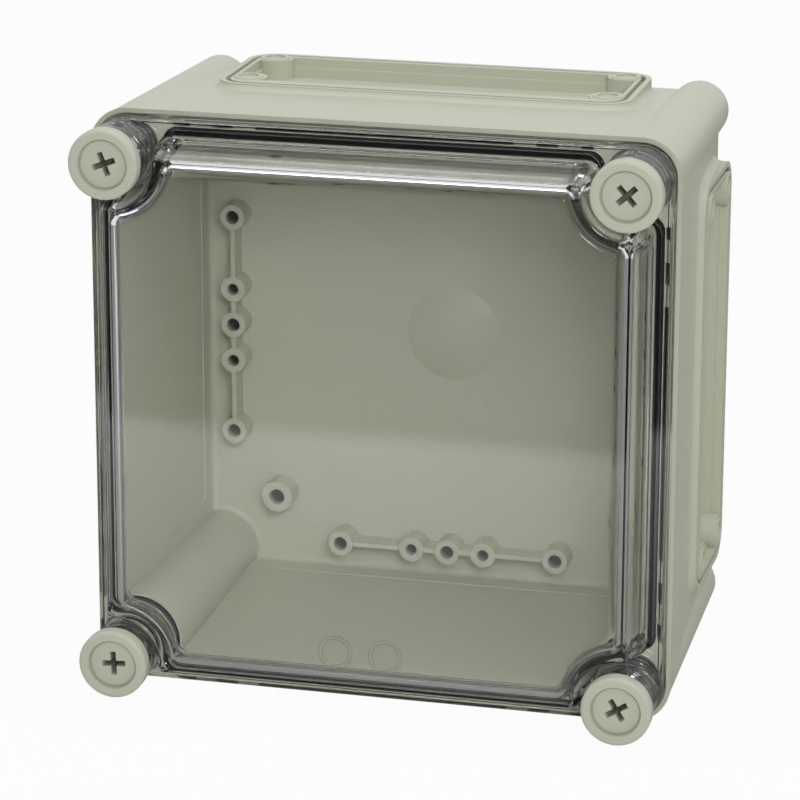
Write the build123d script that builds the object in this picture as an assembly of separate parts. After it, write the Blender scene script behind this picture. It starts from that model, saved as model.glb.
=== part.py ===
from build123d import *
import os

# Square wall-mounting enclosure with a clear cover, four captive cover screws and a blind
# connection collar on each side. Millimetres, +Z up, the window faces -Y. The origin is the
# middle of the bottom of the bounding box. Depths are counted back from the fronts of the
# screw heads.

# Overall size
side = 187.5
total_depth = 128.5

# Depth stations
cover_front = 3.5
flange_front = 20.5
parting = 26.0
back_outer = 128.0
back_wall = 2.5

# Base walls
outer_draft = 3.41
wall = 2.1
cavity_half = 85.4
rim_corner = 12.5
rim_lip = 1.5
back_edge_round = 2.5
cavity_round = 1.8

# Corner columns, which carry the cover screws
column_inset = 12.5
column_front_radius = 12.3
column_back_radius = 9.4
column_back_round = 1.5
bulge_front_radius = 15.0
bulge_back_radius = 12.2
core_radius = 4.2
core_depth = 60.0

# Rim: seat of the seal, its lips and the hollow between the two walls
land_depth = 1.5
seal_lip = 0.5
seal_width = 2.9
seal_seat = 3.0
seal_proud = 1.2
seal_side_gap = 0.1
seal_bend = 5.0
rim_hollow_depth = 26.0
rim_block_length = 7.0
rim_block_places = (44.4, 58.4)

# Cover
cover_wall = 3.0
cover_draft = 10.0
pan_foot_half = 86.5
pan_notch_radius = 11.3
pan_bend = 4.6
pan_round = 1.6
pan_inner_bend = 3.8
pan_inner_round = 1.2
pan_foot_round = 0.8
flange_thickness = 3.8
flange_gap = 0.35
flange_round = 0.6
skirt_thickness = 1.8
skirt_gap = 0.2
press_rib_width = 1.8
post_radius = 10.3
post_bore_radius = 3.9
post_counterbore_radius = 6.4
post_counterbore_start = 14.0

# Cover screws
head_radius = 11.1
head_thickness = 5.0
head_round = 1.1
head_dish_radius = 8.05
head_dish_depth = 0.9
recess_length = 7.7
recess_width = 1.75
recess_depth = 3.6
shank_radius = 3.5
neck_radius = 2.7
thread_radius = 3.0
screw_tip = 42.0
screw_turns = {"top_left": 21, "top_right": 42, "bottom_left": 3, "bottom_right": 31}

# Retaining clip on the neck of each screw
clip_start = 24.0
clip_thickness = 1.4
clip_radius = 5.8
clip_slot = 4.6
clip_fit = 0.05

# Threaded insert in each column
insert_start = 33.5
insert_length = 9.5
insert_radius = 4.4
insert_fit = 0.05
insert_seat_gap = 0.03
insert_groove = 0.5

# Connection collars on the four sides
collar_plane_inset = 0.55
collar_length = 135.2
collar_start = 72.0
collar_width = 50.0
collar_corner = 9.5
collar_rim = 1.8
collar_groove = 1.5
collar_groove_depth = 2.0
pocket_half_length = 63.0
pocket_start = 79.5
pocket_end = 116.7
pocket_corner = 2.0
pocket_ledge_depth = 2.9
pocket_ledge = 1.4
pocket_floor = 1.5
flange_hole_half = 59.0
flange_hole_rows = (84.0, 115.0)
flange_hole_radius = 3.2
flange_hole_depth = 5.4
flange_boss_radius = 6.1
knockout_start = 73.5
knockout_relief = 0.3

# Mounting bosses on the back wall
boss_height = 8.2
row_inset = 18.75
row_places = (-37.5, -12.5, 0.0, 12.5, 37.5)
row_boss_radius = 4.35
row_hole_radius = 2.3
narrow_hole_radius = 1.95
row_rib_width = 1.6
row_rib_drop = 0.3
plate_boss_half = 60.0
plate_boss_radius = 5.4
plate_hole_radius = 2.65
boss_hole_depth = 8.6

# Dome at the moulding gate, in the middle of the back wall
dome_radius = 16.0
dome_rise = 3.2

half = side / 2
axis = half - column_inset
corners = {
    "top_left": (-axis, axis),
    "top_right": (axis, axis),
    "bottom_left": (-axis, -axis),
    "bottom_right": (axis, -axis),
}
land = parting + land_depth
back_inner = back_outer - back_wall
seal_inner_half = cavity_half + seal_lip
seal_outer_half = seal_inner_half + seal_width
seal_notch_radius = bulge_front_radius - seal_lip - seal_width
seal_front = land - seal_proud
collar_height = half - collar_plane_inset
floor_height = cavity_half + pocket_floor


def front(depth, x=0.0, z=0.0):
    """Plane at a depth, facing the viewer, with its origin on the middle line of the box."""
    return Plane(origin=(x, depth - total_depth / 2, half + z), x_dir=(1, 0, 0), z_dir=(0, -1, 0))


def slab(sketch, start, end):
    """Straight block of a sketch between two depths."""
    return extrude(front(start) * sketch, amount=start - end)


def rod(x, z, radius, start, end):
    """Round bar along the depth."""
    return extrude(front(start, x, z) * Circle(radius), amount=start - end)


def cone(x, z, start_radius, end_radius, start, end):
    """Tapered round bar along the depth."""
    axis_plane = Plane(origin=(x, start - total_depth / 2, half + z), z_dir=(0, 1, 0))
    return axis_plane * Cone(
        start_radius, end_radius, end - start, align=(Align.CENTER, Align.CENTER, Align.MIN)
    )


def notched_square(half_side, notch_radius, bend):
    """Square whose corners step back round the four screw axes, with its bends rounded."""
    outline = Rectangle(2 * half_side, 2 * half_side)
    for x, z in corners.values():
        outline -= Pos(x, z) * Circle(notch_radius)
    middle = max(outline.faces(), key=lambda face: face.area)
    return offset(offset(middle, amount=-bend), amount=bend, kind=Kind.ARC)


def ring_of(outline, width):
    """Band of a given width along the inside of an outline."""
    return outline - offset(outline, amount=-width)


def on_side(turn, shape):
    """Shape modelled for the top side, turned about the middle line to another side."""
    middle = Axis((0, 0, half), (0, 1, 0))
    return shape.rotate(middle, turn)


def side_plane(height):
    """Plane over the top side, facing up, with local y along the depth."""
    return Plane(origin=(0, -total_depth / 2, half + height), x_dir=(1, 0, 0), z_dir=(0, 0, 1))


def make_outer_body():
    """Drafted outer wall with rounded back edges and the four corner columns."""
    depth = back_outer - parting
    body = extrude(
        front(parting) * RectangleRounded(side, side, rim_corner), amount=-depth, taper=outer_draft
    )
    body = fillet(body.faces().sort_by(Axis.Y)[-1].edges(), back_edge_round)
    for x, z in corners.values():
        column = cone(x, z, column_front_radius, column_back_radius, parting, total_depth)
        column = fillet(column.faces().sort_by(Axis.Y)[-1].edges(), column_back_round)
        body += column
    return body


def make_collar():
    """Raised collar on the top side, with its seal groove, pocket and four screw bosses."""
    middle = collar_start + collar_width / 2
    outline = Pos(0, middle) * RectangleRounded(collar_length, collar_width, collar_corner)
    block = extrude(side_plane(floor_height) * outline, amount=collar_height - floor_height)
    groove = ring_of(offset(outline, amount=-collar_rim), collar_groove)
    return block - extrude(side_plane(collar_height) * groove, amount=-collar_groove_depth)


def make_pocket():
    """Space inside the collar down to the thin knock-out floor, clear of the screw bosses."""
    middle = (pocket_start + pocket_end) / 2
    width = pocket_end - pocket_start
    upper = Pos(0, middle) * RectangleRounded(2 * pocket_half_length, width, pocket_corner)
    lower = offset(upper, amount=-pocket_ledge)
    holes = []
    for place in ((x, y) for x in (-flange_hole_half, flange_hole_half) for y in flange_hole_rows):
        upper -= Pos(*place) * Circle(flange_boss_radius)
        lower -= Pos(*place) * Circle(flange_boss_radius)
        holes.append(side_plane(collar_height) * Pos(*place) * Circle(flange_hole_radius))
    pocket = extrude(side_plane(collar_height) * upper, amount=-pocket_ledge_depth)
    pocket += extrude(side_plane(collar_height) * lower, amount=floor_height - collar_height)
    for hole in holes:
        pocket += extrude(hole, amount=-flange_hole_depth)
    return pocket


def make_knockout_relief():
    """Shallow step on the inside of the wall behind a collar."""
    middle = (knockout_start + pocket_end) / 2
    outline = Pos(0, middle) * Rectangle(2 * pocket_half_length, pocket_end - knockout_start)
    return extrude(side_plane(cavity_half) * outline, amount=knockout_relief)


def make_cavity():
    """Space inside the base: a square hollow with the column bulges left standing."""
    hollow = slab(Rectangle(2 * cavity_half, 2 * cavity_half), parting, back_inner)
    for x, z in corners.values():
        hollow -= cone(x, z, bulge_front_radius, bulge_back_radius, parting, back_inner)
    return fillet(hollow.faces().sort_by(Axis.Y)[-1].edges(), cavity_round)


def make_rim_space():
    """What is cut from the rim: the step for the cover, the seal seat and the wall hollow."""
    lip_side = side - 2 * rim_lip
    space = slab(RectangleRounded(lip_side, lip_side, rim_corner - rim_lip), parting, land)
    seal_outline = notched_square(seal_outer_half, seal_notch_radius, seal_bend)
    space += slab(ring_of(seal_outline, seal_width), land, land + seal_seat)
    hollow_side = side - 2 * wall
    hollow = extrude(
        front(parting) * Rectangle(hollow_side, hollow_side),
        amount=-(land_depth + rim_hollow_depth),
        taper=outer_draft,
    )
    inner_wall_side = 2 * (seal_outer_half + seal_lip)
    hollow -= slab(Rectangle(inner_wall_side, inner_wall_side), parting, parting + total_depth)
    for x, z in corners.values():
        hollow -= rod(x, z, bulge_front_radius + wall, parting, total_depth)
    for place in rim_block_places:
        for offset_x in (-place, place):
            bar_x = Pos(offset_x, 0) * Rectangle(rim_block_length, side)
            bar_z = Pos(0, offset_x) * Rectangle(side, rim_block_length)
            hollow -= slab(bar_x, land + seal_seat, total_depth)
            hollow -= slab(bar_z, land + seal_seat, total_depth)
    return space + hollow


def make_bosses():
    """Rows of mounting bosses linked by thin ribs, and the four plate bosses."""
    tip = back_inner - boss_height
    row_height = half - row_inset
    bosses = []
    for x in (-plate_boss_half, plate_boss_half):
        for z in (-plate_boss_half, plate_boss_half):
            bosses.append(rod(x, z, plate_boss_radius, tip, back_outer - 1))
    row = [rod(x, row_height, row_boss_radius, tip, back_outer - 1) for x in row_places]
    span = row_places[-1] - row_places[0]
    rib = Pos(0, row_height) * Rectangle(span, row_rib_width)
    row.append(slab(rib, tip + row_rib_drop, back_outer - 1))
    for turn in (0, 90, 180, 270):
        bosses.extend(on_side(turn, piece) for piece in row)
    return bosses


def make_boss_holes():
    """Blind screw holes of the mounting bosses."""
    tip = back_inner - boss_height
    row_height = half - row_inset
    end = tip + boss_hole_depth
    holes = []
    for x in (-plate_boss_half, plate_boss_half):
        for z in (-plate_boss_half, plate_boss_half):
            holes.append(rod(x, z, plate_hole_radius, tip, end))
    row = []
    for index, x in enumerate(row_places):
        radius = narrow_hole_radius if index in (1, 3) else row_hole_radius
        row.append(rod(x, row_height, radius, tip, end))
    for turn in (0, 90, 180, 270):
        holes.extend(on_side(turn, hole) for hole in row)
    return holes


def dome_ball(front_depth):
    """Ball whose cap stands in front of a plane by the dome's rise."""
    radius = (dome_radius**2 + dome_rise**2) / (2 * dome_rise)
    centre = front_depth - dome_rise + radius
    return Pos(0, centre - total_depth / 2, half) * Sphere(radius)


def make_base():
    """Moulded base box."""
    body = make_outer_body()
    collar = make_collar()
    pocket = make_pocket()
    relief = make_knockout_relief()
    for turn in (0, 90, 180, 270):
        body += on_side(turn, collar)
    body -= make_cavity()
    for turn in (0, 90, 180, 270):
        body -= on_side(turn, pocket)
        body -= on_side(turn, relief)
    body -= make_rim_space()
    for boss in make_bosses():
        body += boss
    dome_slab = slab(Circle(dome_radius + 1), back_inner - dome_rise, back_outer)
    body += dome_ball(back_inner) & dome_slab
    body -= dome_ball(back_outer)
    for hole in make_boss_holes():
        body -= hole
    insert_end = insert_start + insert_length
    for x, z in corners.values():
        body -= rod(x, z, insert_radius + insert_seat_gap, land, insert_end)
        body -= rod(x, z, core_radius, total_depth - core_depth, total_depth)
    return body


def make_gasket():
    """Closed seal that follows the notched path inside the screw columns."""
    outline = notched_square(
        seal_outer_half - seal_side_gap, seal_notch_radius + seal_side_gap, seal_bend
    )
    band = ring_of(outline, seal_width - 2 * seal_side_gap)
    return slab(band, seal_front, land + seal_seat)


def foot_edges(cover):
    """Edges where the walls of the pan stand on the flange."""
    depth = flange_front - total_depth / 2
    at_flange = cover.edges().filter_by_position(Axis.Y, depth - 0.01, depth + 0.01)
    reach = pan_foot_half + 0.1
    return [
        edge
        for edge in at_flange
        if abs((edge @ 0.5).X) < reach and abs((edge @ 0.5).Z - half) < reach
    ]


def make_cover():
    """Clear cover: a drafted pan, its flange, and a hollow post round each screw."""
    foot = notched_square(pan_foot_half, pan_notch_radius, pan_bend)
    pan = extrude(front(flange_front) * foot, amount=flange_front - cover_front, taper=cover_draft)
    pan = fillet(pan.faces().sort_by(Axis.Y)[0].edges(), pan_round)
    lip_half = half - rim_lip
    flange_half = lip_half - flange_gap
    flange_corner = rim_corner - rim_lip - flange_gap
    flange_outline = RectangleRounded(2 * flange_half, 2 * flange_half, flange_corner)
    flange_back = flange_front + flange_thickness
    flange = slab(flange_outline, flange_front, flange_back)
    flange = fillet(flange.faces().sort_by(Axis.Y)[0].edges(), flange_round)
    cover = pan + flange
    cover = fillet(foot_edges(cover), pan_foot_round)
    skirt = ring_of(flange_outline, skirt_thickness)
    cover += slab(skirt, flange_back, land - skirt_gap)
    for x, z in corners.values():
        cover += rod(x, z, post_radius, head_thickness, land)
    rib_inset = (seal_width - press_rib_width) / 2
    rib_outline = notched_square(
        seal_outer_half - rib_inset, seal_notch_radius + rib_inset, seal_bend
    )
    cover += slab(ring_of(rib_outline, press_rib_width), flange_back, seal_front)
    inside = notched_square(
        pan_foot_half - cover_wall, pan_notch_radius + cover_wall, pan_inner_bend
    )
    inner_front = cover_front + cover_wall
    hollow = extrude(
        front(flange_front) * inside, amount=flange_front - inner_front, taper=cover_draft
    )
    cover -= fillet(hollow.faces().sort_by(Axis.Y)[0].edges(), pan_inner_round)
    cover -= slab(inside, flange_front, land)
    for x, z in corners.values():
        cover -= rod(x, z, post_bore_radius, head_thickness, land)
        cover -= rod(x, z, post_counterbore_radius, post_counterbore_start, land)
    return cover


def make_screw(x, z, turn):
    """Captive cover screw with a broad dished head and a cross recess."""
    head = rod(x, z, head_radius, 0, head_thickness)
    head = fillet(head.faces().sort_by(Axis.Y)[0].edges(), head_round)
    head -= rod(x, z, head_dish_radius, 0, head_dish_depth)
    cross = Rectangle(recess_length, recess_width) + Rectangle(recess_width, recess_length)
    cross_plane = front(head_dish_depth, x, z) * Rot(0, 0, turn)
    head -= extrude(cross_plane * cross, amount=-recess_depth)
    clip_end = clip_start + clip_thickness
    screw = head + rod(x, z, shank_radius, head_thickness, clip_start)
    screw += rod(x, z, neck_radius, clip_start, clip_end)
    screw += rod(x, z, thread_radius, clip_end, screw_tip)
    return screw


def make_clip(x, z):
    """Open ring snapped on the neck of the screw, which keeps the screw in the cover."""
    shape = Circle(clip_radius) - Circle(neck_radius + clip_fit)
    shape -= Pos(clip_radius / 2, 0) * Rectangle(clip_radius, clip_slot)
    turned = front(clip_start, x, z) * shape
    return extrude(turned, amount=-clip_thickness)


def make_insert(x, z):
    """Threaded insert pressed into the column."""
    insert_end = insert_start + insert_length
    insert = rod(x, z, insert_radius, insert_start, insert_end)
    insert -= rod(x, z, thread_radius + insert_fit, insert_start, insert_end)
    middle = (insert_start + insert_end) / 2
    groove = rod(x, z, insert_radius, middle - insert_groove, middle + insert_groove)
    groove -= rod(x, z, insert_radius - insert_groove, middle - insert_groove, middle + insert_groove)
    return insert - groove


pieces = {
    "base_box": make_base(),
    "cover_gasket": make_gasket(),
    "clear_cover": make_cover(),
}
for name, (x, z) in corners.items():
    pieces[f"cover_screw_{name}"] = make_screw(x, z, screw_turns[name])
    pieces[f"screw_clip_{name}"] = make_clip(x, z)
    pieces[f"thread_insert_{name}"] = make_insert(x, z)

os.makedirs("parts", exist_ok=True)
for name, shape in pieces.items():
    export_step(shape, f"parts/{name}.step")
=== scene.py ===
# %% [markdown]
# # A sealed wall box with a clear cover
# The real object is a square box for electrical devices. A pale grey moulded base carries a clear
# cover on four corner posts, and a black seal lies between them. This lesson dresses the CAD
# model of it: the solids stay where they are, and Blender gives them their finishes, adds what is
# too fine for the solids, and sets up the light and the camera of the reference photo.

# %% Load the fixed frame
import math
import bpy
from mathutils import Matrix, Vector


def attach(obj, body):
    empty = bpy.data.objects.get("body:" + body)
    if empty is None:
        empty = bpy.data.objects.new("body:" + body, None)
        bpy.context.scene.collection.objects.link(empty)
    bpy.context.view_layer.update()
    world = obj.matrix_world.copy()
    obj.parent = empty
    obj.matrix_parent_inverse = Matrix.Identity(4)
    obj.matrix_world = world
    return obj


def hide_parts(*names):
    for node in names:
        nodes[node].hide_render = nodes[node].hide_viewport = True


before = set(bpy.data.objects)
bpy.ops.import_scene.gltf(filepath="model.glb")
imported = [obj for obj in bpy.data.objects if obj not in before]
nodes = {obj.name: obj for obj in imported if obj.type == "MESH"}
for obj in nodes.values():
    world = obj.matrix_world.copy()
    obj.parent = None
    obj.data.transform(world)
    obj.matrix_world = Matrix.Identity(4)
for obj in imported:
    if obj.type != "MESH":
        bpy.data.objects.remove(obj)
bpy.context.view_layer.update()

mm = 0.001

# %% [markdown]
# ## Places in the drawing
# The drawing of the box counts depths back from the fronts of the screw heads and heights from
# the middle of the window, both in millimetres. Two helpers turn them into the frame's metres.
# The screw axes are needed for nearly every piece, and so is the turn that makes a piece which is
# modelled about the Z axis face the viewer.

# %% Places
half_depth = 64.25
half_side = 93.75
screw_axis = 81.25
rim_depth = 26.0
tolerance = 0.01


def at_depth(depth):
    """Y of a depth in millimetres."""
    return (depth - half_depth) * mm


def at_height(height):
    """Z of a height in millimetres over the middle of the window."""
    return (height + half_side) * mm


corners = {
    "top_left": (-screw_axis, screw_axis),
    "top_right": (screw_axis, screw_axis),
    "bottom_left": (-screw_axis, -screw_axis),
    "bottom_right": (screw_axis, -screw_axis),
}
face_viewer = Matrix.Rotation(math.radians(90), 4, "X")
print("head fronts at y", at_depth(0), "middle at z", at_height(0))

# %% [markdown]
# ## Shader maths as plain expressions
# A finish is easier to read as a formula than as a list of nodes and links. One small class wraps
# a node's output and gives it the operators, and one method adds any other node. Mixes of colours
# stay with the Mix node, because a Math node would turn them grey.


# %% A wire that can be used in sums
class Wire:
    """A node's output. Arithmetic on it adds Math nodes."""

    def __init__(self, tree, socket=None):
        self.tree = tree
        self.socket = socket

    def add(self, kind, settings=None, inputs=None, output=0):
        """Adds a node, makes its settings and then its sockets, and returns one of its outputs."""
        node = self.tree.nodes.new(kind)
        for key, value in (settings or {}).items():
            setattr(node, key, value)
        for key, value in (inputs or {}).items():
            if isinstance(value, Wire):
                self.tree.links.new(value.socket, node.inputs[key])
            else:
                node.inputs[key].default_value = value
        return Wire(self.tree, node.outputs[output]) if node.outputs else None

    def math(self, operation, *values):
        """One Math node on the values."""
        return self.add("ShaderNodeMath", {"operation": operation}, dict(enumerate(values)))

    def __abs__(self):
        return self.math("ABSOLUTE", self)

    def __add__(self, other):
        return self.math("ADD", self, other)

    def __radd__(self, other):
        return self.math("ADD", other, self)

    def __sub__(self, other):
        return self.math("SUBTRACT", self, other)

    def __rsub__(self, other):
        return self.math("SUBTRACT", other, self)

    def __mul__(self, other):
        return self.math("MULTIPLY", self, other)

    def __rmul__(self, other):
        return self.math("MULTIPLY", other, self)


print("operators", [name for name in vars(Wire) if name.startswith("__r")])

# %% [markdown]
# ## Colours
# Blender's sockets hold linear light, while a picked colour is an sRGB number from 0 to
# 255. One helper turns the second into the first, so the finishes below can be written as the
# greys that a person would name.


# %% Colour helper
def paint(red, green, blue):
    """Linear RGBA of an sRGB colour given from 0 to 255."""
    def linear(value):
        share = value / 255
        return share / 12.92 if share <= 0.04045 else ((share + 0.055) / 1.055) ** 2.4
    return (linear(red), linear(green), linear(blue), 1)


print("a middle grey in linear light", [round(value, 3) for value in paint(128, 128, 128)])

# %% [markdown]
# ## Words for the finishes
# The finishes below share a few steps: noise, a blend of two colours, a slope from one value to
# another, a bump, and the distance from an axis. Each gets a short name here. Every finish reads
# Object coordinates, so that a pattern stays with its piece.


# %% Helpers for the finishes
def start_material(name):
    """An empty material and its first wire."""
    material = bpy.data.materials.new(name)
    material.use_nodes = True
    material.node_tree.nodes.clear()
    return material, Wire(material.node_tree)


def close_material(graph, shader):
    """Sends a shader to the material's output."""
    graph.add("ShaderNodeOutputMaterial", inputs={"Surface": shader})


def noise(graph, place, scale, detail):
    """Noise from 0 to 1 whose cells are about 1 / scale metres."""
    sockets = {"Vector": place, "Scale": scale, "Detail": detail, "Roughness": 0.5}
    return graph.add("ShaderNodeTexNoise", inputs=sockets)


def blend(graph, share, first, second):
    """The first colour where the share is 0, the second where it is 1."""
    sockets = {"Factor": share, 6: first, 7: second}
    return graph.add("ShaderNodeMix", {"data_type": "RGBA"}, sockets, output=2)


def slope(graph, value, start, end, low, high, kind="LINEAR"):
    """Low up to the start, high from the end on, and a slope between them."""
    sockets = {"Value": value, "From Min": start, "From Max": end, "To Min": low, "To Max": high}
    return graph.add("ShaderNodeMapRange", {"interpolation_type": kind}, sockets)


def fade(graph, value, start, end):
    """1 up to the start, falling smoothly to 0 at the end."""
    return slope(graph, value, start, end, 1.0, 0.0, kind="SMOOTHSTEP")


def bump(graph, height, distance, normal=None):
    """A normal tilted by a relief, where a height of 1 stands for the distance."""
    sockets = {"Height": height, "Distance": distance, "Strength": 1.0}
    if normal:
        sockets["Normal"] = normal
    return graph.add("ShaderNodeBump", inputs=sockets)


def split(graph, vector):
    """X, Y and Z of a vector."""
    node = graph.add("ShaderNodeSeparateXYZ", inputs={"Vector": vector}).socket.node
    return [Wire(graph.tree, socket) for socket in node.outputs]


def axes(graph, place):
    """X, Y and height over the middle of the window, of a place."""
    x, y, z = split(graph, place)
    return x, y, z - at_height(0)


def reach(graph, across, along):
    """Length of a flat offset."""
    return graph.math("SQRT", across * across + along * along)


def from_screw(graph, x, rise):
    """Distance from the nearest screw axis."""
    return reach(graph, abs(x) - screw_axis * mm, abs(rise) - screw_axis * mm)


print("screw axes", round(2 * screw_axis, 1), "mm apart")

# %% [markdown]
# ## Moulded plastic
# The base and the screws are injection moulded. Their mould is spark eroded, which leaves a very
# fine grain that makes the gloss soft. The colour drifts slightly over a hand's breadth, and the
# edges are never sharp. An image could carry this, but noise needs no unwrapping. The drift is a
# large soft noise, the grain is a small one that feeds a Bump node, and a Bevel node rounds the
# edges for the light without more faces.

# %% Moulded plastic
mark_height = 0.07
# Near black for the shade that is painted into holes and recesses.
painted_shade_colour = paint(26, 27, 23)


def moulded_plastic(name, pale, deep, gloss, grain_height, edge_radius, marks=None):
    """Satin moulded plastic between two close shades, with marks and painted shade if there are
    any.
    """
    material, graph = start_material(name)
    place = graph.add("ShaderNodeTexCoord", output="Object")
    drift = noise(graph, place, 14, detail=3)
    cloud = noise(graph, place, 90, detail=2)
    grain = noise(graph, place, 3200, detail=1)
    colour = blend(graph, drift * 0.7 + cloud * 0.3, deep, pale)
    roughness = gloss + (cloud - 0.5) * 0.10 + (grain - 0.5) * 0.08
    edge = graph.add("ShaderNodeBevel", {"samples": 6}, {"Radius": edge_radius * mm})
    normal = bump(graph, grain * 0.8 + cloud * 0.2, grain_height * mm, edge)
    # Marks bring raised lines and a mask of painted shade, which darkens the colour towards the
    # near black.
    if marks:
        line, dark = marks(graph, place)
        if line:
            normal = bump(graph, line, mark_height * mm, normal)
        colour = blend(graph, dark, colour, painted_shade_colour)
    shader = graph.add(
        "ShaderNodeBsdfPrincipled",
        inputs={
            "Base Color": colour,
            "Roughness": roughness,
            "IOR": 1.5,
            "Specular IOR Level": 0.3,
            "Normal": normal,
        },
    )
    close_material(graph, shader)
    return material


clip_plastic = moulded_plastic(
    "clip_plastic",
    paint(196, 194, 184),
    paint(188, 186, 176),
    gloss=0.40,
    grain_height=0.010,
    edge_radius=0.15,
)
print("plain plastic", clip_plastic.name)

# %% [markdown]
# ### Marks and painted shade in the base
# Round ejector pins leave faint rings on the back wall, which are too fine for solids. The deep
# blind screw holes of the bosses catch hardly any light, so painted shade makes them dark dots.
# Both are masks of distance. Limits in depth keep the rings on the inner face of the wall, and the
# painted shade inside the holes and off the back of the box.

# %% Base with its marks and painted shade
ejector_rings = ((18.3, -21.4, 7.7), (47.3, -47.0, 5.4), (-54.4, -75.0, 5.6))
ring_breadth = 0.35
wall_zone = (124.5, 126.2)
row_height = 75.0
row_places = (0.0, 12.5, 37.5)
plate_boss = 60.0
boss_tip = 117.3
row_hole_radius = 2.35
plate_hole_extra = 0.35
holes_end = 127.0
hole_painted_shade = 0.85


def base_rings_and_painted_shade(graph, place):
    """Height of the ejector rings, and painted shade in the screw holes."""
    x, depth, rise = axes(graph, place)
    on_wall = graph.math("GREATER_THAN", depth, at_depth(wall_zone[0])) * graph.math(
        "LESS_THAN", depth, at_depth(wall_zone[1])
    )
    rings = 0.0
    for across, height, radius in ejector_rings:
        away = reach(graph, x - across * mm, rise - height * mm)
        rings = rings + fade(graph, abs(away - radius * mm), 0.0, ring_breadth * mm)
    line = 1.0 - rings * on_wall
    small = graph.math("MINIMUM", abs(x), abs(rise))
    large = graph.math("MAXIMUM", abs(x), abs(rise))
    beside = abs(small - row_places[0] * mm)
    for row_place in row_places[1:]:
        beside = graph.math("MINIMUM", beside, abs(small - row_place * mm))
    row = reach(graph, beside, large - row_height * mm)
    plate = reach(graph, abs(x) - plate_boss * mm, abs(rise) - plate_boss * mm)
    near = graph.math("MINIMUM", row, plate - plate_hole_extra * mm)
    edge = row_hole_radius * mm
    inside = fade(graph, near, edge - tolerance * mm, edge + tolerance * mm)
    # Painted shade grows darker deeper in the holes, and stops before the back of the box.
    shade_with_depth = 1.0 - fade(graph, depth, at_depth(boss_tip + 0.3), at_depth(boss_tip + 5.0))
    before_back = graph.math("LESS_THAN", depth, at_depth(holes_end))
    return line, inside * shade_with_depth * before_back * hole_painted_shade


housing = moulded_plastic(
    "housing_grey",
    paint(204, 206, 187),
    paint(199, 201, 182),
    gloss=0.36,
    grain_height=0.012,
    edge_radius=0.45,
    marks=base_rings_and_painted_shade,
)
print("ejector rings", len(ejector_rings), "kinds of row places", len(row_places))

# %% [markdown]
# ### Painted shade in the screw heads
# The cross recess is deep and narrow, and a fine line of shade lies in the corner of the dish.
# Soft light alone shows both too weakly, so shade is painted into both by the same kind of mask,
# measured from the nearest screw axis and kept below the face of the head.

# %% Screws with painted shade in their recesses
cross_reach = 4.2
dish_corner = 7.6
cross_painted_shade = 0.5
corner_painted_shade = 0.32


def recess_painted_shade(graph, place):
    """No raised line, and painted shade in the cross and in the corner of the dish."""
    x, depth, rise = axes(graph, place)
    away = from_screw(graph, x, rise)
    near = fade(graph, away, cross_reach * mm, (cross_reach + 0.2) * mm)
    below = 1.0 - fade(graph, depth, at_depth(2.0), at_depth(3.6))
    corner = fade(graph, abs(away - dish_corner * mm), 0.1 * mm, 0.6 * mm)
    in_dish = 1.0 - fade(graph, depth, at_depth(0.4), at_depth(1.6))
    cross_shade = near * below * cross_painted_shade
    return None, graph.math("MAXIMUM", cross_shade, corner * in_dish * corner_painted_shade)


screw_plastic = moulded_plastic(
    "screw_grey",
    paint(205, 207, 189),
    paint(200, 202, 184),
    gloss=0.38,
    grain_height=0.008,
    edge_radius=0.25,
    marks=recess_painted_shade,
)
print("plastics", housing.name, screw_plastic.name)

# %% [markdown]
# ## Clear cover
# The cover is polished polycarbonate with a trace of smoke in it. Its posts are thick, so they
# look darker, and fine arcs run round them. Glass in Cycles stops the lamps' light, so the inside
# of the box would go dark and noisy. A Mix Shader lets rays from lamps pass through a Transparent
# shader, and every other ray meets the real glass. The arcs are a wave along the depth that only
# bends the normal.

# %% Clear polycarbonate
post_edge = (10.4, 11.2)
rib_pitch = 4.4
rib_height = 0.10
flow_height = 0.006


def clear_plastic(name, thin_tint, thick_tint, lamp_tint):
    """Polished clear plastic that lets lamp light through, darker and ribbed in its posts."""
    material, graph = start_material(name)
    place = graph.add("ShaderNodeTexCoord", output="Object")
    flow = noise(graph, place, 26, detail=1)
    haze = noise(graph, place, 130, detail=3)
    x, depth, rise = axes(graph, place)
    in_post = fade(graph, from_screw(graph, x, rise), post_edge[0] * mm, post_edge[1] * mm)
    tint = blend(graph, in_post, thin_tint, thick_tint)
    ribs = graph.math("SINE", depth * (2 * math.pi / (rib_pitch * mm))) * in_post
    normal = bump(graph, ribs, rib_height * mm, bump(graph, flow, flow_height * mm))
    solid = graph.add(
        "ShaderNodeBsdfPrincipled",
        inputs={
            "Base Color": tint,
            "Roughness": 0.012 + haze * 0.012,
            "IOR": 1.58,
            "Transmission Weight": 1.0,
            "Normal": normal,
        },
    )
    open_to_lamps = graph.add("ShaderNodeBsdfTransparent", inputs={"Color": lamp_tint})
    lamp_ray = graph.add("ShaderNodeLightPath", output="Is Shadow Ray")
    mixed = graph.add("ShaderNodeMixShader", inputs={0: lamp_ray, 1: solid, 2: open_to_lamps})
    close_material(graph, mixed)
    return material


cover_clear = clear_plastic(
    "cover_clear",
    thin_tint=(0.91, 0.91, 0.92, 1),
    thick_tint=(0.37, 0.35, 0.41, 1),
    lamp_tint=(0.95, 0.95, 0.95, 1),
)
print("clear plastic", cover_clear.name)

# %% [markdown]
# ## Seal rubber and brass
# The seal is black foam rubber with a dull, finely pitted skin, which a small noise makes through
# a Bump node. The inserts are turned brass. Their colour is a metal's, and a noise lets the polish
# drift a little.


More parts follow.
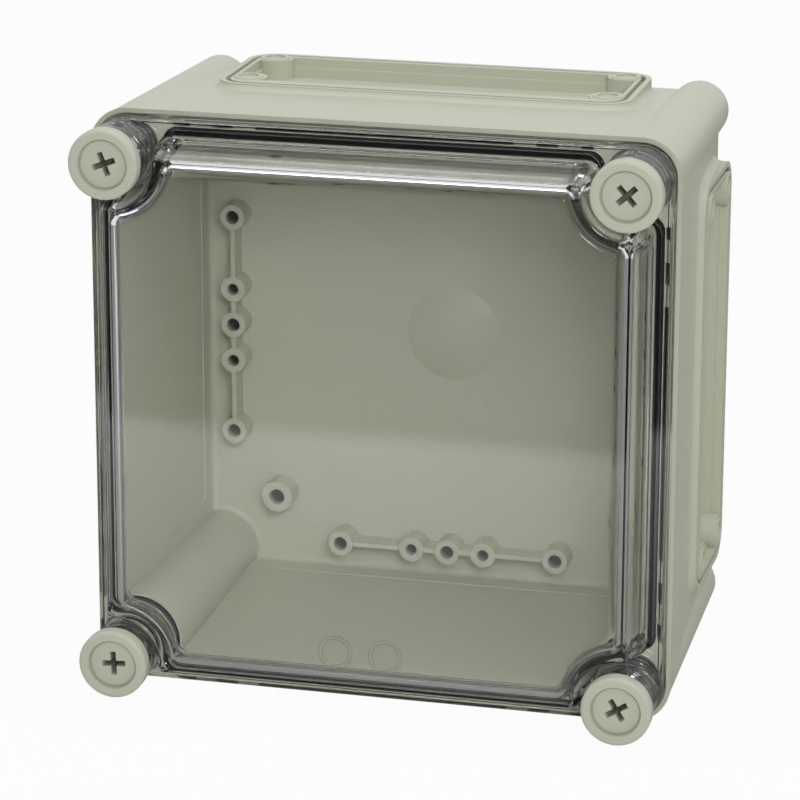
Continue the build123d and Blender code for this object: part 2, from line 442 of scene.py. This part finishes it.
# %% Seal rubber and brass
def foam_rubber(name, deep, pale):
    """Dull black foam with fine pits."""
    material, graph = start_material(name)
    place = graph.add("ShaderNodeTexCoord", output="Object")
    pits = noise(graph, place, 1500, detail=2)
    cloud = noise(graph, place, 60, detail=2)
    shader = graph.add(
        "ShaderNodeBsdfPrincipled",
        inputs={
            "Base Color": blend(graph, cloud, deep, pale),
            "Roughness": 0.62 + pits * 0.2,
            "Specular IOR Level": 0.15,
            "Normal": bump(graph, pits, 0.08 * mm),
        },
    )
    close_material(graph, shader)
    return material


def turned_brass(name):
    """Brass with a slight drift in its polish."""
    material, graph = start_material(name)
    place = graph.add("ShaderNodeTexCoord", output="Object")
    cloud = noise(graph, place, 700, detail=3)
    colour = blend(graph, cloud, (0.62, 0.42, 0.17, 1), (0.78, 0.58, 0.28, 1))
    shader = graph.add(
        "ShaderNodeBsdfPrincipled",
        inputs={"Base Color": colour, "Metallic": 1.0, "Roughness": 0.22 + cloud * 0.16},
    )
    close_material(graph, shader)
    return material


seal_rubber = foam_rubber("seal_rubber", paint(11, 11, 10), paint(18, 18, 17))
insert_brass = turned_brass("insert_brass")
print("others", seal_rubber.name, insert_brass.name)

# %% [markdown]
# ## Dressing the solids
# Each solid keeps its shape and place and only takes a finish. The names of the solids start with
# what they are, so a short table of starts is enough for all of them.

# %% Assign the finishes
finishes = {
    "base_box": housing,
    "clear_cover": cover_clear,
    "cover_gasket": seal_rubber,
    "cover_screw": screw_plastic,
    "screw_clip": clip_plastic,
    "thread_insert": insert_brass,
}
for name, node in nodes.items():
    for start, finish in finishes.items():
        if name.startswith(start):
            node.data.materials.clear()
            node.data.materials.append(finish)
print("dressed", len(nodes))

# %% [markdown]
# ## Modelling by hand, in code
# New pieces are made as at the screen: a primitive, some work in edit mode, then a finish. The
# helpers below take a piece in hand with nothing else selected, pick faces or edges by their
# place, and change what is picked.


# %% Helpers for edit mode
def start_piece():
    """Leaves edit mode and deselects everything."""
    if bpy.context.object and bpy.context.object.mode == "EDIT":
        bpy.ops.object.mode_set(mode="OBJECT")
    bpy.ops.object.select_all(action="DESELECT")


def take(piece):
    """Selects a piece alone and makes it the piece in hand."""
    start_piece()
    piece.select_set(True)
    bpy.context.view_layer.objects.active = piece


def clear_picks():
    """The mesh of the piece in hand, with nothing picked."""
    bpy.ops.object.mode_set(mode="OBJECT")
    mesh = bpy.context.object.data
    for part in (mesh.vertices, mesh.edges, mesh.polygons):
        part.foreach_set("select", [False] * len(part))
    return mesh


def pick_faces(test):
    """Selects only the faces of the piece in hand whose centre and normal pass the test."""
    for face in clear_picks().polygons:
        face.select = test(face.center, face.normal)
    bpy.ops.object.mode_set(mode="EDIT")
    bpy.ops.mesh.select_mode(type="FACE")


def pick_edges(test):
    """Selects only the edges of the piece in hand whose two ends pass the test."""
    mesh = clear_picks()
    for edge in mesh.edges:
        first, last = (mesh.vertices[index].co for index in edge.vertices)
        edge.select = test(first, last)
        if edge.select:
            for index in edge.vertices:
                mesh.vertices[index].select = True
    bpy.ops.object.mode_set(mode="EDIT")
    bpy.ops.mesh.select_mode(type="EDGE")


def push(distance):
    """Extrudes the picked faces straight along Z."""
    bpy.ops.mesh.extrude_region_move(TRANSFORM_OT_translate={"value": (0, 0, distance)})


def merge_flat(angle, gap=0.0):
    """Welds the piece in hand across a gap in millimetres, and merges faces that are flat."""
    bpy.ops.object.mode_set(mode="EDIT")
    bpy.ops.mesh.select_all(action="SELECT")
    if gap:
        bpy.ops.mesh.remove_doubles(threshold=gap * mm)
    bpy.ops.mesh.dissolve_limited(angle_limit=math.radians(angle))
    bpy.ops.object.mode_set(mode="OBJECT")


print("helpers for edit mode", pick_faces.__name__, pick_edges.__name__)

# %% [markdown]
# ### Work on whole pieces
# A move is written into the mesh, so that every piece ends with its origin at the frame's.
# A copy gets a mesh of its own, because a shared one can't take such a move. The last helper
# hands a finished piece to the body that it moves with.


# %% Helpers for whole pieces
def apply_modifiers(piece):
    """Applies all modifiers of a piece."""
    bpy.context.view_layer.objects.active = piece
    for modifier in list(piece.modifiers):
        bpy.ops.object.modifier_apply(modifier=modifier.name)


def combine(piece, tools):
    """Applies each tool with its boolean operation to a piece, and removes the tools."""
    for tool, operation in tools.items():
        step = piece.modifiers.new(tool.name, "BOOLEAN")
        step.operation = operation
        step.solver = "EXACT"
        step.object = tool
    apply_modifiers(piece)
    for tool in tools:
        bpy.data.objects.remove(tool)


def place_piece(piece, matrix):
    """Moves a piece and writes the move into its mesh."""
    take(piece)
    piece.matrix_world = matrix
    bpy.ops.object.transform_apply(location=True, rotation=True, scale=True)


def copy_piece(piece, name):
    """A copy with its own mesh."""
    twin = piece.copy()
    twin.data = piece.data.copy()
    twin.name = name
    twin.data.name = name
    bpy.context.scene.collection.objects.link(twin)
    return twin


def finish_piece(piece, body, slot, material, smooth_angle=30):
    """Gives a piece its finish, its smooth shading and its body; the slot is not used."""
    piece.data.materials.clear()
    piece.data.materials.append(material)
    take(piece)
    bpy.ops.object.shade_smooth_by_angle(angle=math.radians(smooth_angle))
    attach(piece, body)


print("helpers for pieces", place_piece.__name__, finish_piece.__name__)

# %% [markdown]
# ## Cover screws
# A large coin-shaped head covers each post. Its face has a rounded rim and a dish with a steep
# wall. One screw is modelled about the Z axis with its face at zero, and copied later. The head is
# a cylinder with two bevels. Each row of the table is one inset of its face: how far inwards, and
# how far down.

# %% Head of the screw
head_radius = 11.1
head_length = 5.0
front_round = 1.2
back_round = 0.3
face_insets = (
    (1.76, 0.0), (0.08, -0.06), (0.11, -0.30), (0.12, -0.60), (0.12, -0.55), (0.14, -0.25),
    (0.25, -0.10), (0.40, -0.03), (1.4, 0.0), (1.5, 0.0), (1.2, 0.0),
)
start_piece()
bpy.ops.mesh.primitive_cylinder_add(
    vertices=96,
    radius=head_radius * mm,
    depth=head_length * mm,
    location=(0, 0, -head_length / 2 * mm),
)
screw = bpy.context.object
screw.name = "cover_screw_model"
bpy.ops.object.transform_apply(location=True)
pick_edges(lambda first, last: min(first.z, last.z) > -tolerance * mm)
bpy.ops.mesh.bevel(offset=front_round * mm, segments=5, affect="EDGES")
pick_edges(lambda first, last: max(first.z, last.z) < (tolerance - head_length) * mm)
bpy.ops.mesh.bevel(offset=back_round * mm, segments=2, affect="EDGES")
pick_faces(lambda centre, normal: normal.z > 0.99)
for width, drop in face_insets:
    bpy.ops.mesh.inset(thickness=width * mm, depth=drop * mm)
bpy.ops.object.mode_set(mode="OBJECT")
dish_floor = min(vertex.co.z for vertex in screw.data.vertices if vertex.co.xy.length < 3 * mm)
print("dish", round(-dish_floor / mm, 2), "mm deep")

# %% [markdown]
# ### Shank and neck
# Below the head come a smooth shank, the neck that holds the retaining clip, and the core of the
# thread. All of it grows out of the underside of the head, step by step: each row gives a length
# and the radius at its end. The very short row is the shoulder under the neck.

# %% Shank and neck
shank_radius = 3.5
shank_steps = (
    (18.6, shank_radius), (0.4, 2.7), (1.4, 2.7), (0.001, 3.0), (0.1, 2.55), (15.5, 2.55),
    (1.0, 1.9),
)
pick_faces(lambda centre, normal: normal.z < -0.99)
bpy.ops.mesh.inset(thickness=(head_radius - back_round - shank_radius) * mm)
radius = shank_radius
for length, next_radius in shank_steps:
    push(-length * mm)
    share = next_radius / radius
    bpy.ops.transform.resize(value=(share, share, 1), center_override=(0, 0, 0))
    radius = next_radius
bpy.ops.object.mode_set(mode="OBJECT")
tip = min(vertex.co.z for vertex in screw.data.vertices)
print("screw", round(-tip / mm, 1), "mm long")

# %% [markdown]
# ### Driver's cross
# The cross is cut deep, and its arms get shorter and thinner towards the bottom. Two tapered bars
# are cut out, the second turned by a quarter. Each starts a little over the face, so that no skin
# is left there.

# %% Driver's cross
cross_length = 8.9
cross_breadth = 2.05
cross_depth = 8.0
over_face = 0.1
bottom_share = (0.47, 0.6, 1)
cutters = []
for turn in (0, 90):
    start_piece()
    bpy.ops.mesh.primitive_cube_add(size=1, location=(0, 0, (over_face - cross_depth) / 2 * mm))
    cutter = bpy.context.object
    cutter.scale = (cross_length * mm, cross_breadth * mm, (cross_depth + over_face) * mm)
    bpy.ops.object.transform_apply(location=True, scale=True)
    pick_faces(lambda centre, normal: normal.z < -0.9)
    bpy.ops.transform.resize(value=bottom_share, center_override=(0, 0, 0))
    place_piece(cutter, Matrix.Rotation(math.radians(turn), 4, "Z"))
    cutters.append(cutter)
combine(screw, dict.fromkeys(cutters, "DIFFERENCE"))
print("screw faces", len(screw.data.polygons))

# %% [markdown]
# ### Thread
# The thread is a small triangle wound round the core by a Screw modifier, and joined to the
# screw. One corner of the triangle lies inside the core.

# %% Thread of the screw
thread_start = -40.5
thread_turns = 14
thread_pitch = 1.0
ridge_radius = 0.33
ridge_middle = 2.66
steps_per_turn = 24
start_piece()
bpy.ops.mesh.primitive_circle_add(
    vertices=3,
    radius=ridge_radius * mm,
    fill_type="NOTHING",
    location=(ridge_middle * mm, 0, thread_start * mm),
    rotation=(math.radians(90), 0, 0),
)
thread = bpy.context.object
bpy.ops.object.transform_apply(location=True, rotation=True)
ridge_out = max(vertex.co.x for vertex in thread.data.vertices)
winding = thread.modifiers.new("winding", "SCREW")
winding.axis = "Z"
winding.angle = math.radians(360)
winding.screw_offset = thread_pitch * mm
winding.iterations = thread_turns
winding.steps = steps_per_turn
winding.render_steps = steps_per_turn
winding.use_normal_calculate = True
apply_modifiers(thread)
take(screw)
thread.select_set(True)
bpy.ops.object.join()
print("thread reaches", round(ridge_out / mm, 2), "mm from the axis")

# %% [markdown]
# ### Four screws
# Each copy is turned to face the viewer, and spun so that its cross stands as in the photo. It
# replaces its solid, and rides on the screw's own body.

# %% Four screws in their places
screw_turns = {"top_left": 21, "top_right": 42, "bottom_left": 3, "bottom_right": 31}
for name, (x, height) in corners.items():
    twin = copy_piece(screw, "screw_" + name)
    spot = Matrix.Translation((x * mm, at_depth(0), at_height(height)))
    turn = Matrix.Rotation(math.radians(screw_turns[name]), 4, "Z")
    place_piece(twin, spot @ face_viewer @ turn)
    finish_piece(twin, "screw_" + name, "cover_screw", screw_plastic)
    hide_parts("cover_screw_" + name)
bpy.data.objects.remove(screw)
print("screws placed", len(corners))

# %% [markdown]
# ## Seal
# The seal is one soft ring. A copy of its solid is merged first, because the frame's meshes are
# loose triangles, and then the two front edges are rounded over, as foamed rubber is. Merging
# leaves the flat front as one face that bends round on itself, so it is cut into triangles.

# %% Round the seal
seal_round = 1.0
front_band = 0.05
seal = copy_piece(nodes["cover_gasket"], "seal_ring")
take(seal)
merge_flat(1, gap=0.002)
seal_front = min(vertex.co.y for vertex in seal.data.vertices)
pick_edges(lambda first, last: max(first.y, last.y) < seal_front + front_band * mm)
bpy.ops.mesh.bevel(offset=seal_round * mm, segments=4, affect="EDGES")
bpy.ops.mesh.select_all(action="SELECT")
bpy.ops.mesh.quads_convert_to_tris(quad_method="BEAUTY", ngon_method="BEAUTY")
bpy.ops.object.mode_set(mode="OBJECT")
finish_piece(seal, "box", "gasket", seal_rubber)
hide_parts("cover_gasket")
print("seal faces", len(seal.data.polygons))

# %% [markdown]
# ## Collars
# Each side has a raised collar for joining boxes. The mould leaves a hollow sweep where it meets
# the wall, and a raised ring round each screw hole. The sweep is a plate with a hollow bevel: its
# middle is taken away, so only the sweep stays round the collar's foot.

# %% Foot of a collar
collar_length = 135.2
collar_width = 50.0
collar_middle = 97.0
collar_bend = 9.5
foot_sweep = 2.2
foot_lip = 0.3
middle_drop = 0.9 * foot_sweep
hollow_profile = 0.13
wall_draft = math.radians(3.41)
wall_height = half_side - math.tan(wall_draft) * (collar_middle - rim_depth)
foot_length = collar_length + 2 * foot_sweep
foot_width = collar_width + 2 * foot_sweep
start_piece()
bpy.ops.mesh.primitive_cube_add(size=1)
foot = bpy.context.object
foot.scale = (foot_length * mm, foot_width * mm, foot_sweep * mm)
bpy.ops.object.transform_apply(scale=True)
pick_edges(lambda first, last: abs(first.z - last.z) > 0.1 * mm)
bpy.ops.mesh.bevel(offset=(collar_bend + foot_sweep) * mm, segments=10, affect="EDGES")
pick_edges(lambda first, last: min(first.z, last.z) > (foot_sweep / 2 - tolerance) * mm)
bpy.ops.mesh.bevel(offset=foot_sweep * mm, segments=6, profile=hollow_profile, affect="EDGES")
pick_faces(lambda centre, normal: normal.z > 0.99)
bpy.ops.mesh.inset(thickness=foot_lip * mm)
push(-middle_drop * mm)
bpy.ops.mesh.delete(type="FACE")
pick_faces(lambda centre, normal: normal.z < -0.99)
bpy.ops.mesh.delete(type="FACE")
bpy.ops.object.mode_set(mode="OBJECT")
foot.name = "collar_foot_model"
print("foot faces", len(foot.data.polygons))

# %% [markdown]
# ### Ring round a screw hole
# The ring is a low disc with a rounded front. Its middle is pushed in and its floor deleted.

# %% Ring round a screw hole
ring_radius = 4.85
ring_bore = 3.3
ring_height = 0.6
ring_round = 0.22
ring_floor = 0.05
start_piece()
bpy.ops.mesh.primitive_cylinder_add(
    vertices=48, radius=ring_radius * mm, depth=ring_height * mm, end_fill_type="NGON"
)
ring = bpy.context.object
pick_edges(lambda first, last: min(first.z, last.z) > (ring_height / 2 - tolerance) * mm)
bpy.ops.mesh.bevel(offset=ring_round * mm, segments=3, affect="EDGES")
pick_faces(lambda centre, normal: normal.z > 0.99)
bpy.ops.mesh.inset(thickness=(ring_radius - ring_round - ring_bore) * mm)
push((ring_floor - ring_height) * mm)
bpy.ops.mesh.delete(type="FACE")
bpy.ops.object.mode_set(mode="OBJECT")
ring.name = "hole_ring_model"
print("ring faces", len(ring.data.polygons))

# %% [markdown]
# ### All four sides
# Both models are made for the top. The other sides get copies, turned about the middle of the box
# by quarters. The foot leans with the drafted wall, and the rings sit on the collar's flat front.

# %% Collars on all four sides
ring_level = 93.25
hole_places = ((-59, 84), (59, 84), (-59, 115), (59, 115))
side_turns = {"top": 0, "right": 90, "bottom": 180, "left": 270}
box_middle = Matrix.Translation((0, 0, at_height(0)))
lean = Matrix.Rotation(-wall_draft, 4, "X")
foot_level = (wall_height + foot_sweep / 2) * mm
foot_place = Matrix.Translation((0, at_depth(collar_middle), foot_level)) @ lean
for side_name, turn in side_turns.items():
    spin = box_middle @ Matrix.Rotation(math.radians(turn), 4, "Y")
    twin = copy_piece(foot, "collar_foot_" + side_name)
    place_piece(twin, spin @ foot_place)
    finish_piece(twin, "box", "housing", housing, smooth_angle=50)
    for index, (x, depth) in enumerate(hole_places):
        twin = copy_piece(ring, "hole_ring_%s_%d" % (side_name, index + 1))
        ring_place = Matrix.Translation((x * mm, at_depth(depth), ring_level * mm))
        place_piece(twin, spin @ ring_place)
        finish_piece(twin, "box", "housing", housing)
bpy.data.objects.remove(foot)
bpy.data.objects.remove(ring)
print("collars dressed", len(side_turns))

# %% [markdown]
# ## Sweep round the window
# Inside the real cover the window runs into the walls of the pan in a generous hollow sweep. That
# sweep works as a prism and draws the bright double band round the window. The solid has a much
# smaller one. Its round can't be widened in place, so a copy of the cover is filled with a plug
# that ends inside the walls, and a cutter with the wide sweep opens the pan again.

# %% Sizes of the pan
pan_foot_half = 86.5
pan_foot = 20.5
pan_wall = 3.0
pan_draft = math.radians(10)
pan_notch = 11.3
window_inner = 6.5
window_sweep = 5.0
inner_bend = 6.9
solid_bend = 3.8
flange_back = 24.3
overlap = 0.8
clearance = 0.02
plug_back = flange_back - 0.3
plug_front = window_inner - 1.0
opener_back = flange_back + 0.7
print("window", round(2 * (pan_foot_half - pan_wall), 1), "mm across at its foot")

# %% [markdown]
# ### Outline of the pan
# Plug and cutter start from one outline: a square that steps back round the screws. A quarter of
# it is three arcs and two straight lines, drawn by moving and spinning the end of a line. A Mirror
# modifier makes the other quarters.


# %% Outline that steps back round the screws
def spin_arc(middle, turn, steps):
    """Spins the picked end of a line round a point, by an angle that is positive to the left."""
    bpy.ops.mesh.spin(
        steps=steps, angle=turn, center=(middle[0] * mm, middle[1] * mm, 0), axis=(0, 0, -1)
    )


def draw_line(right, up):
    """Draws a straight line on from the picked point."""
    bpy.ops.mesh.extrude_vertices_move(TRANSFORM_OT_translate={"value": (right * mm, up * mm, 0)})


def notched_outline(half_width, notch_radius, bend):
    """A flat face pointing up: the square outline of the pan, with rounded bends."""
    level = half_width - bend
    rise = screw_axis - level
    along = screw_axis - math.sqrt((notch_radius + bend) ** 2 - rise**2)
    lean = math.atan2(rise, screw_axis - along)
    start_piece()
    bpy.ops.mesh.primitive_plane_add(size=mm)
    outline = bpy.context.object
    bpy.ops.object.mode_set(mode="EDIT")
    bpy.ops.mesh.select_mode(type="VERT")
    bpy.ops.mesh.select_all(action="SELECT")
    bpy.ops.mesh.merge(type="CENTER")
    bpy.ops.transform.translate(value=(0, half_width * mm, 0))
    draw_line(along, 0)
    spin_arc((along, level), lean - math.pi / 2, 12)
    spin_arc((screw_axis, screw_axis), math.pi / 2 - 2 * lean, 24)
    spin_arc((level, along), lean - math.pi / 2, 12)
    draw_line(0, -along)
    bpy.ops.object.mode_set(mode="OBJECT")
    mirror = outline.modifiers.new("other_quarters", "MIRROR")
    mirror.use_axis = (True, True, False)
    mirror.merge_threshold = tolerance * mm
    apply_modifiers(outline)
    bpy.ops.object.mode_set(mode="EDIT")
    bpy.ops.mesh.select_all(action="SELECT")
    bpy.ops.mesh.edge_face_add()
    bpy.ops.object.mode_set(mode="OBJECT")
    if outline.data.polygons[0].normal.z < 0:
        bpy.ops.object.mode_set(mode="EDIT")
        bpy.ops.mesh.flip_normals()
        bpy.ops.object.mode_set(mode="OBJECT")
    return outline


print("notches of radius", pan_notch, "mm round the screws")

# %% [markdown]
# ### Plug and cutter
# An outline is pushed straight up to the foot of the pan. One inset then follows the draft of the
# walls, and small ones the curve of the sweep. The plug has no sweep, since it only fills.

# %% Plug and cutter
sweep_steps = 14


def drafted_block(outline, back, front, sweep=0.0):
    """Raises an outline from a depth to the foot of the pan, and along its draft to the front."""
    place_piece(outline, Matrix.Translation((0, 0, -back * mm)))
    pick_faces(lambda centre, normal: True)
    push((back - pan_foot) * mm)
    run = pan_foot - front - sweep * (1 - math.sin(pan_draft))
    bpy.ops.mesh.inset(thickness=run * math.tan(pan_draft) * mm, depth=run * mm)
    for step in range(sweep_steps if sweep else 0):
        start = pan_draft + (math.pi / 2 - pan_draft) * step / sweep_steps
        end = pan_draft + (math.pi / 2 - pan_draft) * (step + 1) / sweep_steps
        inward = sweep * (math.cos(start) - math.cos(end))
        forward = sweep * (math.sin(end) - math.sin(start))
        bpy.ops.mesh.inset(thickness=inward * mm, depth=forward * mm)
    bpy.ops.mesh.select_all(action="SELECT")
    bpy.ops.mesh.normals_make_consistent(inside=False)
    bpy.ops.object.mode_set(mode="OBJECT")
    place_piece(outline, Matrix.Translation((0, at_depth(0), at_height(0))) @ face_viewer)
    return outline


inner_half = pan_foot_half - pan_wall
inner_notch = pan_notch + pan_wall
plug = notched_outline(inner_half + overlap, inner_notch - overlap, solid_bend + overlap)
plug = drafted_block(plug, plug_back, plug_front)
opener = notched_outline(inner_half + clearance, inner_notch - clearance, inner_bend)
opener = drafted_block(opener, opener_back, window_inner, window_sweep)
print("plug faces", len(plug.data.polygons), "opener faces", len(opener.data.polygons))

# %% [markdown]
# ### The cover with its wide sweep
# The plug is added and the cutter taken away. Both booleans need whole faces, so the copy is
# merged before them and cleaned after them. A Weighted Normal modifier keeps the large flat faces
# flat for the light. The last lines count the edges that don't join exactly two faces.

# %% Fill the cover and open it again
flatness = 0.3
cover = copy_piece(nodes["clear_cover"], "cover_shell")
take(cover)
merge_flat(flatness, gap=0.001)
combine(cover, {plug: "UNION", opener: "DIFFERENCE"})
merge_flat(flatness)
finish_piece(cover, "cover", "clear_cover", cover_clear)
flat_faces = cover.modifiers.new("flat_faces", "WEIGHTED_NORMAL")
flat_faces.keep_sharp = True
flat_faces.weight = 100
apply_modifiers(cover)
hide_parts("clear_cover")
uses = [0] * len(cover.data.edges)
for face in cover.data.polygons:
    for loop in face.loop_indices:
        uses[cover.data.loops[loop].edge_index] += 1
print("cover faces", len(cover.data.polygons), "open edges", sum(use != 2 for use in uses))

# %% [markdown]
# ## Rings moulded in the window
# Low in the window the mould leaves two round marks, each a pair of fine raised rings. They stand
# on the inner face of the window and are clear as the rest.

# %% Window rings
mark_places = ((-9.2, -72.0), (6.9, -72.1))
mark_radii = (5.4, 4.3)
bead_radius = 0.14
bead_depth = window_inner + 0.13
for index, (x, height) in enumerate(mark_places):
    spot = Matrix.Translation((x * mm, at_depth(bead_depth), at_height(height)))
    for radius in mark_radii:
        start_piece()
        bpy.ops.mesh.primitive_torus_add(
            major_segments=64,
            minor_segments=8,
            major_radius=radius * mm,
            minor_radius=bead_radius * mm,
        )
        mark = bpy.context.object
        mark.name = "window_ring_%d_%d" % (index + 1, radius)
        place_piece(mark, spot @ face_viewer)
        finish_piece(mark, "cover", "clear_cover", cover_clear)
print("window rings", len(mark_places) * len(mark_radii))

# %% [markdown]
# ## Floor
# The reference is a catalogue picture on white. The floor looks nearly white to the camera, while
# its real light stays moderate, so nothing on the object clips. Gloss and glass need more care,
# because a polished cover is drawn by what it mirrors. They meet a white sheet that ends in front
# of the box, with a painted shadow that greys it towards the box, and a dark room beyond. Rays
# that have met something dull before see the plain paper.


# %% Floor
def sort_rays(graph):
    """1 for rays from the camera, and 1 for rays of gloss or glass alone."""
    seen = graph.add("ShaderNodeLightPath", output="Is Camera Ray")
    glossy = graph.add("ShaderNodeLightPath", output="Is Glossy Ray")
    through = graph.add("ShaderNodeLightPath", output="Is Transmission Ray")
    bounces = graph.add("ShaderNodeLightPath", output="Diffuse Depth")
    return seen, graph.math("MAXIMUM", glossy, through) * graph.math("LESS_THAN", bounces, 0.5)


floor_half = 3.0
floor_drop = 0.0002
sheet_front = -0.352
sheet_soft = 0.012
sheet_back = -0.08
shadowed_sheet_grey = 0.25
room_grey = 0.10
seen_white = 0.95
pure_white = (1, 1, 1, 1)
paper_colour = (0.82, 0.82, 0.81, 1)
start_piece()
bpy.ops.mesh.primitive_plane_add(size=2 * floor_half, location=(0, 0, -floor_drop))
floor = bpy.context.object
floor.name = "studio_floor"
material, graph = start_material("floor_paper")
seen, in_gloss = sort_rays(graph)
away = split(graph, graph.add("ShaderNodeTexCoord", output="Object"))[1]
on_sheet = slope(graph, away, sheet_front - sheet_soft, sheet_front + sheet_soft, room_grey, 1.0)
# Painted shadow of the box on the sheet that gloss and glass see.
painted_box_shadow = slope(graph, away, sheet_front, sheet_back, 1.0, shadowed_sheet_grey)
mirrored = graph.add("ShaderNodeEmission", inputs={"Color": on_sheet * painted_box_shadow})
white = graph.add("ShaderNodeEmission", inputs={"Color": pure_white})
paper = graph.add("ShaderNodeBsdfDiffuse", inputs={"Color": paper_colour})
open_floor = graph.add("ShaderNodeMixShader", inputs={0: seen * seen_white, 1: paper, 2: white})
lit = graph.add("ShaderNodeMixShader", inputs={0: in_gloss, 1: open_floor, 2: mirrored})
close_material(graph, lit)
floor.data.materials.append(material)
print("floor", round(2 * floor_half, 2), "m, white sheet from y", sheet_front)

# %% [markdown]
# ## World
# The world is white to the camera and a soft light for the box, a little stronger from the right.
# Gloss and glass meet a bright backdrop behind the box, a ceiling and a bright left side. Their
# sum has a limit, so that the band round the window, which mirrors them, doesn't clip.

# %% World
room_light = 0.40
ceiling_light = 0.9
side_light = 0.9
brightest = 0.85
backdrop_edge = (-0.25, 0.15)
ceiling_edge = (0.55, 0.75)
left_edge = (-0.9, -0.5)
right_edge = (-0.2, 1.0)
right_gain = (0.94, 1.3)
world = bpy.data.worlds.new("studio_world")
bpy.context.scene.world = world
world.use_nodes = True
world.node_tree.nodes.clear()
sky = Wire(world.node_tree)
seen, in_gloss = sort_rays(sky)
across, away, upwards = split(sky, sky.add("ShaderNodeTexCoord", output="Generated"))
backdrop = slope(sky, away, *backdrop_edge, room_grey, 1.0)
ceiling = slope(sky, upwards, *ceiling_edge, 0.0, ceiling_light)
left_side = slope(sky, across, *left_edge, side_light, 0.0)
from_right = slope(sky, across, *right_edge, *right_gain)
around = sky.math("MINIMUM", backdrop + ceiling + left_side, brightest)
soft = sky.add(
    "ShaderNodeBackground", inputs={"Color": pure_white, "Strength": from_right * room_light}
)
white = sky.add("ShaderNodeBackground", inputs={"Color": pure_white, "Strength": 1.0})
mirrored = sky.add("ShaderNodeBackground", inputs={"Color": around, "Strength": 1.0})
plain = sky.add("ShaderNodeMixShader", inputs={0: seen, 1: soft, 2: white})
whole = sky.add("ShaderNodeMixShader", inputs={0: in_gloss, 1: plain, 2: mirrored})
sky.add("ShaderNodeOutputWorld", inputs={"Surface": whole})
print("room light", room_light)

# %% [markdown]
# ## Lamps
# Two soft boxes give the shape. The long one overhead lights the top of the box and the rims, and
# the one at the front right lights the screws and the inside.

# %% Lamps
lamp_target = Vector((0, 0, 0.094))


def soft_lamp(name, place, width, height, power):
    """A soft box that points at the middle of the box."""
    lamp = bpy.data.lights.new(name, "AREA")
    lamp.shape = "RECTANGLE"
    lamp.size = width
    lamp.size_y = height
    lamp.energy = power
    holder = bpy.data.objects.new(name, lamp)
    bpy.context.scene.collection.objects.link(holder)
    direction = lamp_target - Vector(place)
    turn = direction.to_track_quat("-Z", "Y").to_matrix().to_4x4()
    holder.matrix_world = Matrix.Translation(place) @ turn


soft_lamp("top_box", (0.0, 0.0, 1.35), width=1.3, height=0.26, power=5.2)
soft_lamp("key_box", (0.5, -1.25, 0.75), width=0.4, height=0.4, power=5.8)
print("lamps placed")

# %% [markdown]
# ## Camera
# The camera was fitted to the edges of the box in the photo. It looks down from the front right
# along a long lens. The aim is a point in the box, with a small shift to the side and down, and
# the roll is nearly nothing.

# %% Camera
azimuth = math.radians(14.21)
elevation = math.radians(16.67)
roll = math.radians(0.16)
distance = 1.21462
aim = Vector((0, -0.00425, 0.09375))
aim_right = -0.00225
aim_up = -0.00436
lens = 170.444
back = Vector((
    math.sin(azimuth) * math.cos(elevation),
    -math.cos(azimuth) * math.cos(elevation),
    math.sin(elevation),
))
level_right = Vector((0, 0, 1)).cross(back).normalized()
level_up = back.cross(level_right)
eye = aim + back * distance + level_right * aim_right + level_up * aim_up
right = math.cos(roll) * level_right + math.sin(roll) * level_up
up = math.cos(roll) * level_up - math.sin(roll) * level_right
camera_data = bpy.data.cameras.new("photo_camera")
camera_data.lens = lens
camera_data.clip_start = 0.05
camera = bpy.data.objects.new("photo_camera", camera_data)
bpy.context.scene.collection.objects.link(camera)
camera.matrix_world = Matrix.Translation(eye) @ Matrix((right, up, back)).transposed().to_4x4()
bpy.context.scene.camera = camera
bpy.context.scene.view_settings.view_transform = "Standard"
print("camera at", [round(value, 4) for value in eye])

# %% [markdown]
